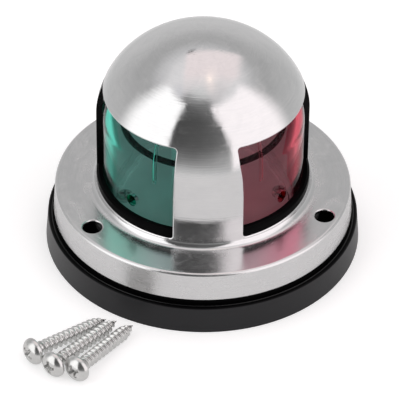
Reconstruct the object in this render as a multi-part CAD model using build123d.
from build123d import *
import os
from math import sin, cos, radians, sqrt

# Bi-colour bow navigation light, deck mounted.
# A pressed stainless cover (dome, front pillar, flange and skirt in one sheet) closes over a black
# lens frame that carries a green and a red lens half. Both stand on a round plastic base, which
# also carries the lamp carrier, its contact clips, a festoon lamp and two supply leads.
# Three loose mounting screws lie on the deck in front.
# Frame: origin on the deck plane at the centre of the base, +Z up, -Y towards the bow (front
# pillar), +X on the red lens's side. Millimetres. An azimuth (AZ, degrees) is measured from the
# front (-Y) towards +X. A side is +1 for red and -1 for green.

# ---------------------------------------------------------------- driving dimensions
# base
BASE_R_BOTTOM = 40.0        # foot of the base
BASE_R_TOP = 39.43          # base skirt has a little draft
BASE_SKIRT_H = 7.12
BASE_EDGE = 0.35            # bevel at the top of the base skirt
STEP_R = 37.7               # raised step the cover's skirt stands on
STEP_Z = 8.54
PLATEAU_R = 36.45           # part of the base inside the cover's skirt
PLATEAU_Z = 14.6
TOP_PLATE_T = 2.2
BASE_WALL_R = 36.8          # inside of the foot wall
UPPER_WALL_R = 33.6         # inside of the wall above the foot
FOOT_RIM_R = 31.2           # bore of the rim at the foot
FOOT_RIM_T = 2.0
GASKET_T = 1.5
GASKET_R = BASE_WALL_R - 0.1
GASKET_R_IN = 30.2
LEDGE_Z = 9.5               # ledge that the lens frame and the lamp carrier stand on
LEDGE_T = 2.2
LEDGE_R_IN = 18.0
COLLAR_R = 26.9             # bore of the collar round the lens frame's foot
COLLAR_T = 2.2
BASE_RIB_T = 1.6
BASE_RIB_STEP_AZ = 30

# seals
COVER_SEAL_R = (29.8, 31.4)
GROOVE_GAP = 0.1            # groove's side clearance round the cover seal
GROOVE_DEPTH = 0.7
FRAME_SEAL_R = (24.4, 26.4)

# mounting holes
PCD = 67.0
HOLE_R = 2.45
HOLE_TURN = 2.0             # the hole pattern sits turned a little from the pillar
HOLE_AZ = (60.0 + HOLE_TURN, -60.0 + HOLE_TURN, 180.0 + HOLE_TURN)
BOSS_R = 5.6

# cover
SHEET = 0.8
COVER_R = 27.0              # outside of the cylindrical wall
DOME_Z = 36.2               # where the wall turns into the dome
DOME_H = 24.2
FLANGE_Z = 16.35
FLANGE_FILLET = 1.8         # outside radius between wall and flange
FLANGE_R = 37.5             # top edge of the skirt
SKIRT_R = 37.94             # foot of the skirt
FLANGE_EDGE = 0.8
INNER_EDGE = 0.2            # bevel inside the flange's edge
HOLE_CHAMFER = 0.35
WINDOW_Z0 = FLANGE_Z + FLANGE_FILLET
WINDOW_Z1 = 44.94
PILLAR_HALF_AZ = 18.9       # front pillar's half width
WINDOW_REAR_AZ = 112.0
WINDOW_CORNER = 0.9
WINDOW_GAP = 0.1            # clearance of the frame's lands in the windows

# lens frame
FRAME_GAP = 0.1
FRAME_R = COVER_R - SHEET - FRAME_GAP
LAND_R = COVER_R - 0.1      # lands that fill the window openings, just under flush
FRAME_R_IN = 23.5
FRAME_FOOT_R_IN = 22.6
FRAME_FOOT_Z = 10.5
LENS_SEAT_Z = 14.0
RIM_Z = 20.67               # top of the black rim below each lens
CROWN_Z = 46.6
POST_HALF_AZ = 15.5         # half width of the frame's front post
BAFFLE_R = 19.5
BAFFLE_T = 1.3
BAFFLE_Z = (36.2, 37.0)
BAFFLE_GAP_AZ = 19.0        # half width of the ring's opening in front of the lamp
SCREEN_AZ = 102.0           # rear screen starts here
STRIP_AZ = 96.0             # outer strips over the lens's rear edges start here

# lenses
LENS_R = 25.25
LENS_T = 2.2
POCKET_R = LENS_R + 0.1     # frame's clearance radius round the lens
LENS_FOOT_Z = LENS_SEAT_Z + 0.05
LENS_AZ = (16.0, 101.6)
VENT_AZ = 47.7
VENT_Z = 23.9
VENT_R = 1.65
RIB_AZ = 33.2               # upright moulded rib inside each lens
RIB_HALF_AZ = 0.9
RIB_Z = (31.7, 44.0)
RIB_DEPTH = 0.7
RIB_OVERLAP = 0.4           # how far the rib's root runs into the lens

# lamp; a cap's cylinder is given as its (bottom, top) heights
LAMP_Y = -7.5
LAMP_LEN = 36.0
LAMP_Z0 = 12.9
LAMP_Z1 = LAMP_Z0 + LAMP_LEN
GLASS_R = 5.0
GLASS_T = 0.6
GLASS_NECK_R = 2.9
GLASS_SHOULDER_H = 2.6
CAP_R = 3.75
CAP_CYL = 3.8
CAP_CONE = 2.3
LOW_CYL = (LAMP_Z0 + CAP_CONE, LAMP_Z0 + CAP_CONE + CAP_CYL)
UP_CYL = (LAMP_Z1 - CAP_CONE - CAP_CYL, LAMP_Z1 - CAP_CONE)
FILAMENT_Z = (25.4, 36.4)
FILAMENT_PITCH = 0.55
FILAMENT_R = 0.5            # coil radius
FILAMENT_WIRE_R = 0.13
SUPPORT_R = 0.22
SUPPORT_GAP = 0.16          # support's end to the coil's end

# lamp carrier
CARRIER_R = 22.0
CARRIER_T = 2.2
CARRIER_TOP = LEDGE_Z + CARRIER_T
CARRIER_SCREW_XS = (19.8, -19.8)
DAM_R_IN = 20.9
DAM_H = 0.9
POST_FRONT_Y = -1.0
POST_T = 3.0
POST_REAR_Y = POST_FRONT_Y + POST_T
POST_HALF_X = 8.0
POST_TOP_Z = 50.0
POST_SINK = 1.0             # how far the post runs into the disc
POST_CORNER = 3.0
STIFFENER_X = 6.4
STIFFENER_T = 1.6
GROMMET_Y = 5.8
GROMMET_R = 4.5
GROMMET_LIP_R = 5.4
GROMMET_LIP = 1.0

# contacts and leads
CLIP_T = 0.5
CLIP_GAP = 0.05
RIVET_R = 1.0
RIVET_HOLE_R = RIVET_R + 0.05
RIVET_HEAD_H = 0.6
RIVET_OFFSET = 3.4          # from a cap's inner end to its rivet
TERMINAL_T = 0.5
BARREL_R = 1.35
BARREL_DROP = (4.2, 8.7)    # barrel's top and bottom below the rivet
CORE_R = 0.6
CORE_BORE_R = CORE_R + 0.02
SHEATH_R = 1.05
SHEATH_DROP = 8.75          # sheath's top below the rivet
CORE_RISE = 4.0             # core's top above the sheath's
LEAD_X = 2.2
LEAD_Y = POST_REAR_Y + 1.75
LEAD_Z = 3.2                # height of the half loop under the ledge
LEAD_BEND = 3.0
LEAD_LOOP = 9.0
SHEATH_TAIL = 1.0
CORE_TAIL = 4.4

# (x, z) of each contact's rivet
UPPER_CONTACT = (-LEAD_X, UP_CYL[0] - RIVET_OFFSET)
LOWER_CONTACT = (LEAD_X, LOW_CYL[1] + RIVET_OFFSET)

# mounting screws, 3.5 x 22 mm self-tapping pan head with cross recess
SCREW_LEN = 22.0
SCREW_HEAD_R = 3.4
SCREW_HEAD_H = 2.4
SCREW_MAJOR_R = 1.8
SCREW_MINOR_R = 1.3
SCREW_PITCH = 1.5
SCREW_TAPER = 3.6           # length of the tapering point
RECESS_T = 0.42             # half width of a recess slot
# where each point lies, which way (x, y) each head lies, and the turn of its recess
SCREW_LAY = [
    ((-25.60, -35.95, 1.52), (-44.95, -50.10), 62.0),
    ((-23.15, -38.00, 2.75), (-39.58, -54.78), 12.0),
    ((-19.15, -38.45, 1.52), (-33.92, -56.85), 30.0),
]

BEYOND_R = 34               # outside every wall that the wedges cut


# ---------------------------------------------------------------- helpers
def polar(r, azimuth, z=0.0):
    """Point at a radius and azimuth."""
    return (r * sin(radians(azimuth)), -r * cos(radians(azimuth)), z)


HOLE_XY = [polar(PCD / 2, azimuth)[:2] for azimuth in HOLE_AZ]


def polygon(*points):
    return make_face([Polyline(*points, close=True)])


def turned(*edges):
    """Solid of revolution of a closed outline given as (radius, height) edges."""
    return revolve(Plane.XZ * make_face(list(edges)), Axis.Z, 360)


def ring(*points):
    return turned(Polyline(*points, close=True))


def band(r0, r1, z0, z1):
    """Ring of rectangular section."""
    return ring((r0, z0), (r1, z0), (r1, z1), (r0, z1))


def sector(az0, az1, z0, z1):
    """Wedge from the axis out to beyond every wall, between two azimuths."""
    n = max(2, int(abs(az1 - az0) / 20) + 1)
    reach = BEYOND_R / cos(radians(abs(az1 - az0) / n / 2)) + 0.01
    points = [(0, 0)] + [polar(reach, az0 + (az1 - az0) * i / n)[:2] for i in range(n + 1)]
    return Pos(0, 0, z0) * extrude(polygon(*points), z1 - z0)


def rod(start, end, r):
    """Cylinder between two points."""
    origin = Vector(*start)
    run = Vector(*end) - origin
    return extrude(Plane(origin=origin, z_dir=run) * Circle(r), run.length)


def rod_z(x, y, z0, z1, r):
    return rod((x, y, z0), (x, y, z1), r)


def rod_y(x, z, y0, y1, r):
    return rod((x, y0, z), (x, y1, z), r)


def hole_rods(r, z0, z1):
    """Upright cylinders at the mounting holes."""
    return [rod_z(x, y, z0, z1, r) for x, y in HOLE_XY]


def quarter(r, h):
    """Quarter ellipse from the top of the wall to the top of the dome."""
    return Bezier((r, DOME_Z), (r, DOME_Z + h), (0, DOME_Z + h), weights=[1, sqrt(0.5), 1])


def dome_solid(r, h, z0):
    """Cylinder from z0 with a half-ellipsoid on top."""
    return turned(
        Line((0, z0), (r, z0)),
        Line((r, z0), (r, DOME_Z)),
        quarter(r, h),
        Line((0, DOME_Z + h), (0, z0)),
    )


def dome_shell(r_out, h_out, r_in, z0):
    """Cylinder and half-ellipsoid shell from z0 up, as thick at the top as at the wall."""
    return dome_solid(r_out, h_out, z0) - dome_solid(r_in, h_out - (r_out - r_in), z0 - 1)


def window(side, gap=0.0):
    """Wedge through one window opening, its corners rounded, inset all round by gap."""
    gap_az = gap / radians(COVER_R)
    z0, z1 = WINDOW_Z0 + gap, WINDOW_Z1 - gap
    cut = sector(side * (PILLAR_HALF_AZ + gap_az), side * (WINDOW_REAR_AZ - gap_az), z0, z1)
    # clear the middle, so that the radial edges end short of the axis
    cut -= Pos(0, 0, WINDOW_Z0 - 1) * extrude(Circle(12), WINDOW_Z1)
    radial = []
    for edge in cut.edges().filter_by(GeomType.LINE):
        middle = edge.position_at(0.5)
        run = edge.position_at(1) - edge.position_at(0)
        at_end = min(abs(middle.Z - z0), abs(middle.Z - z1)) < 1e-6
        if abs(run.Z) < 1e-6 and run.length > 15 and at_end:
            radial.append(edge)
    return fillet(radial, WINDOW_CORNER - gap / 2)


# ---------------------------------------------------------------- cover shell
def flange_arc(r):
    """Quarter arc of radius r from the wall out to the flange, as a profile edge."""
    x, z = COVER_R + FLANGE_FILLET, FLANGE_Z + FLANGE_FILLET
    slant = r * sin(radians(45))
    return ThreePointArc((x - r, z), (x - slant, z - slant), (x, z - r))


def cover_shell():
    bend_r = COVER_R + FLANGE_FILLET
    bend_z = FLANGE_Z + FLANGE_FILLET
    edge_r = FLANGE_R - FLANGE_EDGE
    edge_z = FLANGE_Z - FLANGE_EDGE
    edge_slant = FLANGE_EDGE * sin(radians(45))
    outer = turned(
        quarter(COVER_R, DOME_H),
        Line((COVER_R, DOME_Z), (COVER_R, bend_z)),
        flange_arc(FLANGE_FILLET),
        Line((bend_r, FLANGE_Z), (edge_r, FLANGE_Z)),
        ThreePointArc(
            (edge_r, FLANGE_Z), (edge_r + edge_slant, edge_z + edge_slant), (FLANGE_R, edge_z)
        ),
        Line((FLANGE_R, edge_z), (SKIRT_R, STEP_Z)),
        Line((SKIRT_R, STEP_Z), (0, STEP_Z)),
        Line((0, STEP_Z), (0, DOME_Z + DOME_H)),
    )
    wall_r = COVER_R - SHEET
    under_z = FLANGE_Z - SHEET
    corner_r = FLANGE_R - SHEET
    skirt_r = SKIRT_R - SHEET
    open_z = STEP_Z - 1
    inner = turned(
        quarter(wall_r, DOME_H - SHEET),
        Line((wall_r, DOME_Z), (wall_r, bend_z)),
        flange_arc(FLANGE_FILLET + SHEET),
        Line((bend_r, under_z), (corner_r - INNER_EDGE, under_z)),
        Line((corner_r - INNER_EDGE, under_z), (corner_r, under_z - INNER_EDGE)),
        Line((corner_r, under_z - INNER_EDGE), (skirt_r, open_z)),
        Line((skirt_r, open_z), (0, open_z)),
        Line((0, open_z), (0, DOME_Z + DOME_H - SHEET)),
    )
    body = outer - inner
    for side in (1, -1):
        body -= window(side)
    # screw holes, each rim chamfered a little
    for x, y in HOLE_XY:
        body -= rod_z(x, y, FLANGE_Z - 3, FLANGE_Z + 3, HOLE_R)
        chamfer = Cone(HOLE_R, HOLE_R + HOLE_CHAMFER, HOLE_CHAMFER)
        body -= Pos(x, y, FLANGE_Z - HOLE_CHAMFER / 2) * chamfer
    return body


# ---------------------------------------------------------------- lens frame
def lens_frame():
    body = dome_shell(FRAME_R, DOME_H - SHEET - FRAME_GAP, FRAME_R_IN, LENS_SEAT_Z)
    # foot
    body += ring(
        (FRAME_FOOT_R_IN, FRAME_FOOT_Z), (FRAME_R, FRAME_FOOT_Z),
        (FRAME_R, LENS_SEAT_Z + 0.5), (FRAME_R_IN, LENS_SEAT_Z + 0.5),
        (FRAME_R_IN, LENS_SEAT_Z), (FRAME_FOOT_R_IN, LENS_SEAT_Z),
    )
    # lens openings
    for side in (1, -1):
        body -= sector(side * POST_HALF_AZ, side * SCREEN_AZ, LENS_SEAT_Z, CROWN_Z)
    # black rim outside the lens's foot
    body += ring(
        (POCKET_R, LENS_SEAT_Z - 0.2), (FRAME_R, LENS_SEAT_Z - 0.2),
        (FRAME_R, RIM_Z - 0.3), (LENS_R + 0.4, RIM_Z), (POCKET_R, RIM_Z),
    )
    # light baffle ring behind the upper part of both lenses, open at the front for the lamp
    baffle_z0, baffle_z1 = BAFFLE_Z
    baffle = band(BAFFLE_R, BAFFLE_R + BAFFLE_T, baffle_z0, baffle_z1)
    body += baffle - sector(-BAFFLE_GAP_AZ, BAFFLE_GAP_AZ, baffle_z0 - 1, baffle_z1 + 1)
    # tie between the baffle and the rear screen
    tie = band(BAFFLE_R, FRAME_R_IN + 0.6, baffle_z0, baffle_z1)
    body += tie & sector(SCREEN_AZ, 360 - SCREEN_AZ, 0, 60)
    # lands in the foot of each window, and strips over the lenses' rear edges
    land_z = WINDOW_Z0 + WINDOW_GAP
    land = ring(
        (LENS_R + 0.4, land_z), (LAND_R, land_z), (LAND_R, RIM_Z - 0.55),
        (LAND_R - 0.55, RIM_Z), (POCKET_R, RIM_Z), (POCKET_R, RIM_Z - 1),
    )
    shell = dome_shell(LAND_R, DOME_H - 0.1, POCKET_R, land_z)
    for side in (1, -1):
        opening = window(side, WINDOW_GAP)
        body += land & opening
        rear = sector(side * STRIP_AZ, side * (WINDOW_REAR_AZ + 2), WINDOW_Z0, WINDOW_Z1)
        body += (shell & opening) & rear
    return body


# ---------------------------------------------------------------- lens halves
def lens(side):
    height = DOME_H - (COVER_R - LENS_R)
    body = dome_shell(LENS_R, height, LENS_R - LENS_T, LENS_FOOT_Z)
    body = body & sector(side * LENS_AZ[0], side * LENS_AZ[1], LENS_SEAT_Z, CROWN_Z - 0.1)
    # moulded rib on the inside
    root = LENS_T - RIB_OVERLAP
    tip = LENS_T + RIB_DEPTH
    inner = dome_shell(LENS_R - root, height - root, LENS_R - tip, LENS_FOOT_Z)
    body += inner & sector(side * (RIB_AZ - RIB_HALF_AZ), side * (RIB_AZ + RIB_HALF_AZ), *RIB_Z)
    # vent hole near the foot
    body -= rod(polar(18, side * VENT_AZ, VENT_Z), polar(30, side * VENT_AZ, VENT_Z), VENT_R)
    return body


# ---------------------------------------------------------------- base and seals
def mounting_base():
    under_plate_z = PLATEAU_Z - TOP_PLATE_T
    rim_z = GASKET_T + FOOT_RIM_T
    body = ring(
        # outside, from the foot up to the plateau
        (BASE_R_BOTTOM, 0.0), (BASE_R_BOTTOM - 0.08, 1.0),
        (BASE_R_TOP, BASE_SKIRT_H - BASE_EDGE), (BASE_R_TOP - BASE_EDGE, BASE_SKIRT_H),
        (STEP_R, BASE_SKIRT_H), (STEP_R, STEP_Z), (PLATEAU_R, STEP_Z), (PLATEAU_R, PLATEAU_Z),
        # collar and ledge
        (COLLAR_R, PLATEAU_Z), (COLLAR_R, LEDGE_Z),
        (LEDGE_R_IN, LEDGE_Z), (LEDGE_R_IN, LEDGE_Z - LEDGE_T),
        # underside, back out to the foot
        (COLLAR_R + COLLAR_T, LEDGE_Z - LEDGE_T), (COLLAR_R + COLLAR_T, under_plate_z),
        (UPPER_WALL_R, under_plate_z), (UPPER_WALL_R, rim_z),
        (FOOT_RIM_R, rim_z), (FOOT_RIM_R, GASKET_T),
        (BASE_WALL_R, GASKET_T), (BASE_WALL_R, 0.0),
    )
    # bosses round the mounting holes, kept inside the walls and out of the collar
    envelope = ring(
        (0, GASKET_T), (BASE_WALL_R, GASKET_T), (BASE_WALL_R, 5.0), (PLATEAU_R, 5.0),
        (PLATEAU_R, PLATEAU_Z), (27.6, PLATEAU_Z), (27.6, 11.0), (0, 11.0),
    )
    for boss in hole_rods(BOSS_R, GASKET_T, PLATEAU_Z):
        body += boss & envelope
    # radial ribs under the top plate, left out at the mounting holes
    rib_zone = band(COLLAR_R + 0.5, 34.2, 7.4, PLATEAU_Z - 1.5)
    for azimuth in range(0, 360, BASE_RIB_STEP_AZ):
        if min(abs((azimuth - hole + 180) % 360 - 180) for hole in HOLE_AZ) < 5:
            continue
        web = Rot(0, 0, azimuth - 90) * Pos(31, 0, 10.5) * Box(10, BASE_RIB_T, 8)
        body += web & rib_zone
    for hole in hole_rods(HOLE_R, -1, 20):
        body -= hole
    # bosses for the carrier screws
    for x in CARRIER_SCREW_XS:
        body += rod_z(x, 0, 4.6, LEDGE_Z - 1, 2.6)
        body -= rod_z(x, 0, 5.4, 12, 1.3)
    # groove for the cover seal
    r0, r1 = COVER_SEAL_R
    body -= band(r0 - GROOVE_GAP, r1 + GROOVE_GAP, PLATEAU_Z - GROOVE_DEPTH, PLATEAU_Z + 1)
    return body


def deck_gasket():
    body = band(GASKET_R_IN, GASKET_R, 0.0, GASKET_T)
    for lobe in hole_rods(BOSS_R, 0, GASKET_T):
        body += lobe & band(0, GASKET_R, 0, GASKET_T)
    for hole in hole_rods(HOLE_R, -1, 20):
        body -= hole
    return body


def seal(radii, z0, z1, bevel_w, bevel_h):
    """Flat ring with both top edges bevelled."""
    r0, r1 = radii
    return ring(
        (r0, z0), (r1, z0), (r1, z1 - bevel_h),
        (r1 - bevel_w, z1), (r0 + bevel_w, z1), (r0, z1 - bevel_h),
    )


# ---------------------------------------------------------------- lamp carrier
def bulb_carrier():
    disc = Pos(0, 0, LEDGE_Z) * extrude(Circle(CARRIER_R), CARRIER_T)
    post = Pos(
        0, (POST_FRONT_Y + POST_REAR_Y) / 2, (CARRIER_TOP + POST_TOP_Z - POST_SINK) / 2
    ) * Box(2 * POST_HALF_X, POST_T, POST_TOP_Z - CARRIER_TOP + POST_SINK)
    top = [e for e in post.edges().filter_by(Axis.Y) if e.center().Z > POST_TOP_Z - 1.5]
    body = disc + fillet(top, POST_CORNER)
    # tapering stiffeners behind the post, as (y, z)
    for x in (-STIFFENER_X, STIFFENER_X):
        outline = polygon(
            (POST_REAR_Y - 0.5, CARRIER_TOP - 0.5), (12.0, CARRIER_TOP - 0.5),
            (12.0, CARRIER_TOP + 1), (POST_REAR_Y + 0.8, 40), (POST_REAR_Y - 0.5, 40),
        )
        body += extrude(Plane.YZ.offset(x - STIFFENER_T / 2) * outline, STIFFENER_T)
    # low light-proof dam round the disc, open at the two screws
    dam = band(DAM_R_IN, CARRIER_R, CARRIER_TOP - 0.3, CARRIER_TOP + DAM_H)
    body += dam - Pos(0, 0, CARRIER_TOP + 1) * Box(60, 8, 3)
    # rivet holes, screw holes, grommet hole
    for x, z in (UPPER_CONTACT, LOWER_CONTACT):
        body -= rod_y(x, z, -10, 6, RIVET_HOLE_R)
    for x in CARRIER_SCREW_XS:
        body -= rod_z(x, 0, 5, 16, 1.45)
    body -= rod_z(0, GROMMET_Y, 5, CARRIER_TOP, GROMMET_R + 0.05)
    return body


def carrier_screws():
    screws = []
    for x in CARRIER_SCREW_XS:
        head = rod_z(x, 0, CARRIER_TOP, CARRIER_TOP + 1.5, 2.1)
        head = fillet(head.edges().sort_by(Axis.Z)[-1:], 0.8)
        body = head + rod_z(x, 0, 5.6, CARRIER_TOP + 0.2, 1.25)
        for slot in ((2.4, 0.5), (0.5, 2.4)):
            body -= Pos(x, 0, CARRIER_TOP + 1.3) * Box(*slot, 1.6)
        screws.append(body.solids()[0])
    return Compound(children=screws)


# ---------------------------------------------------------------- contacts and leads
def contact_clip(cap_cylinder, contact):
    """Web riveted to the front of the post, with two sprung arms round one lamp cap."""
    x_rivet, z_rivet = contact
    arm_z0, arm_z1 = cap_cylinder[0] + 0.2, cap_cylinder[1] - 0.2
    back, front = POST_FRONT_Y, POST_FRONT_Y - CLIP_T
    x_in = CAP_R + CLIP_GAP
    x_out = x_in + CLIP_T
    z0, z1 = min(arm_z0, z_rivet - 2.4), max(arm_z1, z_rivet + 2.4)
    body = Pos(0, (front + back) / 2, (z0 + z1) / 2) * Box(2 * x_out, CLIP_T, z1 - z0)
    tip = LAMP_Y - 0.6
    arms = []
    for side in (1, -1):
        outline = polygon(
            (side * x_in, back), (side * x_out, back), (side * x_out, tip + 0.05),
            (side * (x_out + 0.55), tip - 0.95), (side * (x_in + 0.6), tip - 1.25),
            (side * x_in, tip),
        )
        arms.append(Pos(0, 0, arm_z0) * extrude(outline, arm_z1 - arm_z0))
    body = body + arms[0] + arms[1]
    body -= rod_y(x_rivet, z_rivet, -10, 0, RIVET_HOLE_R)
    return body


def clip_rivets():
    rivets = []
    front = POST_FRONT_Y - CLIP_T
    rear = POST_REAR_Y + TERMINAL_T
    for x, z in (UPPER_CONTACT, LOWER_CONTACT):
        head = rod_y(x, z, front, front - RIVET_HEAD_H, 1.8)
        head = fillet(head.edges().sort_by(Axis.Y)[:1], 0.4)
        tail = rod_y(x, z, rear, rear + RIVET_HEAD_H, 1.7)
        tail = fillet(tail.edges().sort_by(Axis.Y)[-1:], 0.35)
        body = head + tail + rod_y(x, z, front - 0.1, rear + 0.1, RIVET_R)
        body -= rod_y(x, z, rear - 0.6, rear + 1, 0.5)
        rivets.append(body.solids()[0])
    return Compound(children=rivets)


def terminal(contact):
    """Eye under the rivet's tail, a tongue down from it, and the barrel on the lead."""
    x, z = contact
    eye = rod_y(x, z, POST_REAR_Y, POST_REAR_Y + TERMINAL_T, 2.3)
    tongue = Pos(x, POST_REAR_Y + TERMINAL_T / 2, z - 3.0) * Box(2.4, TERMINAL_T, 6.0)
    barrel = rod_z(x, LEAD_Y, z - BARREL_DROP[0], z - BARREL_DROP[1], BARREL_R)
    body = eye + tongue + barrel
    body -= rod_y(x, z, -6, 6, RIVET_HOLE_R)
    body -= rod_z(x, LEAD_Y, z - 4.0, z - 9, CORE_BORE_R)
    return body


def lead_run(x, z_top, tail, r):
    """A lead's run of radius r: straight down, a bend outwards, a half loop and a tail."""
    side = 1 if x > 0 else -1
    body = rod_z(x, LEAD_Y, z_top, LEAD_Z + LEAD_BEND, r)
    bend_x = x + side * LEAD_BEND
    bend_inset = LEAD_BEND * (1 - sin(radians(45)))
    end_y = LEAD_Y - 2 * LEAD_LOOP
    bend = ThreePointArc(
        (x, LEAD_Y, LEAD_Z + LEAD_BEND),
        (x + side * bend_inset, LEAD_Y, LEAD_Z + bend_inset),
        (bend_x, LEAD_Y, LEAD_Z),
    )
    loop = ThreePointArc(
        (bend_x, LEAD_Y, LEAD_Z),
        (bend_x + side * LEAD_LOOP, LEAD_Y - LEAD_LOOP, LEAD_Z),
        (bend_x, end_y, LEAD_Z),
    )
    for path in (bend, loop):
        body += sweep(Plane(origin=path @ 0, z_dir=path % 0) * Circle(r), path=path)
    body += rod((bend_x, end_y, LEAD_Z), (bend_x - side * tail, end_y, LEAD_Z), r)
    return body


def lead_sheath(contact):
    x, z = contact
    z_top = z - SHEATH_DROP
    bore = lead_run(x, z_top + 1, SHEATH_TAIL + 1, CORE_BORE_R)
    return lead_run(x, z_top, SHEATH_TAIL, SHEATH_R) - bore


def lead_core(contact):
    x, z = contact
    return lead_run(x, z - SHEATH_DROP + CORE_RISE, CORE_TAIL, CORE_R)


def lead_grommet():
    z0, z1 = LEDGE_Z, CARRIER_TOP
    body = rod_z(0, GROMMET_Y, z0 - GROMMET_LIP, z1 + GROMMET_LIP, GROMMET_R)
    body += rod_z(0, GROMMET_Y, z1, z1 + GROMMET_LIP, GROMMET_LIP_R)
    body += rod_z(0, GROMMET_Y, z0 - GROMMET_LIP, z0, GROMMET_LIP_R)
    # upper lip cut flat behind the post
    body -= Pos(0, POST_REAR_Y + 0.1 - 5, z1 + 5) * Box(20, 10, 10)
    for x in (-LEAD_X, LEAD_X):
        body -= rod_z(x, LEAD_Y, 0, 20, SHEATH_R + 0.06)
    return body


# ---------------------------------------------------------------- lamp
def bulb_glass():
    z0, z1 = LOW_CYL[1], UP_CYL[0]
    shoulder_z = z0 + GLASS_SHOULDER_H
    outside = [
        (GLASS_NECK_R, z0), (GLASS_NECK_R + 0.5, z0 + 0.5),
        (GLASS_R - 0.9, shoulder_z - 0.9), (GLASS_R - 0.2, shoulder_z),
        (GLASS_R, shoulder_z + 0.9),
    ]
    outside += [(r, z0 + z1 - z) for r, z in reversed(outside)]
    inside = [(r - GLASS_T, z) for r, z in outside]
    return Pos(0, LAMP_Y, 0) * ring(*outside, *reversed(inside))


def bulb_cap(glass_z, cone_z, tip_z):
    """Cap from the glass along its cylinder to the cone, and on to the blunt tip."""
    outward = 1 if tip_z > glass_z else -1
    return Pos(0, LAMP_Y, 0) * ring(
        (0, glass_z), (CAP_R, glass_z), (CAP_R, cone_z),
        (1.7, tip_z - outward * 0.5), (1.2, tip_z), (0, tip_z),
    )


def bulb_filament():
    z0, z1 = FILAMENT_Z
    coil = Helix(pitch=FILAMENT_PITCH, height=z1 - z0, radius=FILAMENT_R)
    path = Pos(0, LAMP_Y, z0) * coil
    start = Plane(origin=path @ 0, z_dir=path % 0)
    return sweep(start * Circle(FILAMENT_WIRE_R), path=path)


def filament_supports():
    """Straight lead-in wires from each cap towards the coil's ends."""
    spans = (
        (LOW_CYL[1], FILAMENT_Z[0] - SUPPORT_GAP),
        (UP_CYL[0], FILAMENT_Z[1] + SUPPORT_GAP),
    )
    wires = [rod_z(FILAMENT_R, LAMP_Y, z0, z1, SUPPORT_R).solids()[0] for z0, z1 in spans]
    return Compound(children=wires)


# ---------------------------------------------------------------- loose mounting screws
def screw_solid():
    """Pan-head screw along Z: head from z = 0 up, point at z = -SCREW_LEN."""
    def taper(z):
        return min(1.0, (z + SCREW_LEN) / SCREW_TAPER)

    outline = [(0, -SCREW_LEN), (0.25, -SCREW_LEN + 0.2)]
    # thread as separate ridges, shrinking towards the point
    z = -SCREW_LEN + 0.7
    while z + 1.1 < -0.5:
        crest_r = SCREW_MAJOR_R * taper(z + 0.6)
        outline += [
            (SCREW_MINOR_R * taper(z), z), (crest_r, z + 0.5),
            (crest_r, z + 0.62), (SCREW_MINOR_R * taper(z + 1.05), z + 1.05),
        ]
        z += SCREW_PITCH
    outline += [
        (SCREW_MINOR_R, -0.35), (SCREW_MINOR_R + 0.2, 0),
        (SCREW_HEAD_R - 0.15, 0), (SCREW_HEAD_R, 0.35),
    ]
    body = turned(
        Polyline(*outline),
        ThreePointArc(
            (SCREW_HEAD_R, 0.35), (SCREW_HEAD_R * 0.76, SCREW_HEAD_H * 0.76), (0, SCREW_HEAD_H)
        ),
        Line((0, SCREW_HEAD_H), (0, -SCREW_LEN)),
    )
    # cross recess
    for turn in (0, 90):
        slot = Plane.XZ * polygon(
            (-2.0, SCREW_HEAD_H + 0.5), (2.0, SCREW_HEAD_H + 0.5),
            (1.6, 1.4), (0.45, 0.5), (-0.45, 0.5), (-1.6, 1.4),
        )
        body -= Rot(0, 0, turn) * extrude(slot, RECESS_T, both=True)
    return body


def mounting_screws():
    screw = screw_solid()
    screws = []
    for point, (head_x, head_y), spin in SCREW_LAY:
        x, y, z = point
        flat = Vector(head_x - x, head_y - y, 0).normalized()
        # tilt that rests the head's rim just clear of the deck
        rise = (SCREW_HEAD_R + 0.04 - z) / SCREW_LEN
        axis = (flat * sqrt(1 - rise * rise) + Vector(0, 0, rise)).normalized()
        seat = Vector(x, y, z) + axis * SCREW_LEN
        lay = Plane(origin=seat, z_dir=axis, x_dir=Vector(-flat.Y, flat.X, 0))
        laid = lay.location * (Rot(0, 0, spin) * screw)
        screws.append(laid.solids()[0])
    return Compound(children=screws)


# ---------------------------------------------------------------- write
PARTS = {
    "cover_shell": cover_shell(),
    "lens_frame": lens_frame(),
    "green_lens": lens(-1),
    "red_lens": lens(1),
    "mounting_base": mounting_base(),
    "deck_gasket": deck_gasket(),
    "cover_seal": seal(COVER_SEAL_R, PLATEAU_Z - GROOVE_DEPTH, FLANGE_Z - SHEET, 0.4, 0.3),
    "frame_seal": seal(FRAME_SEAL_R, LEDGE_Z, FRAME_FOOT_Z, 0.3, 0.2),
    "bulb_carrier": bulb_carrier(),
    "carrier_screws": carrier_screws(),
    "contact_clip_upper": contact_clip(UP_CYL, UPPER_CONTACT),
    "contact_clip_lower": contact_clip(LOW_CYL, LOWER_CONTACT),
    "clip_rivets": clip_rivets(),
    "terminal_upper": terminal(UPPER_CONTACT),
    "terminal_lower": terminal(LOWER_CONTACT),
    "positive_lead_sheath": lead_sheath(UPPER_CONTACT),
    "positive_lead_core": lead_core(UPPER_CONTACT),
    "negative_lead_sheath": lead_sheath(LOWER_CONTACT),
    "negative_lead_core": lead_core(LOWER_CONTACT),
    "lead_grommet": lead_grommet(),
    "bulb_glass": bulb_glass(),
    "bulb_cap_upper": bulb_cap(*UP_CYL, LAMP_Z1),
    "bulb_cap_lower": bulb_cap(*reversed(LOW_CYL), LAMP_Z0),
    "bulb_filament": bulb_filament(),
    "filament_supports": filament_supports(),
    "mounting_screws": mounting_screws(),
}

os.makedirs("parts", exist_ok=True)
for name, shape in PARTS.items():
    shape.label = name
    export_step(shape, f"parts/{name}.step")
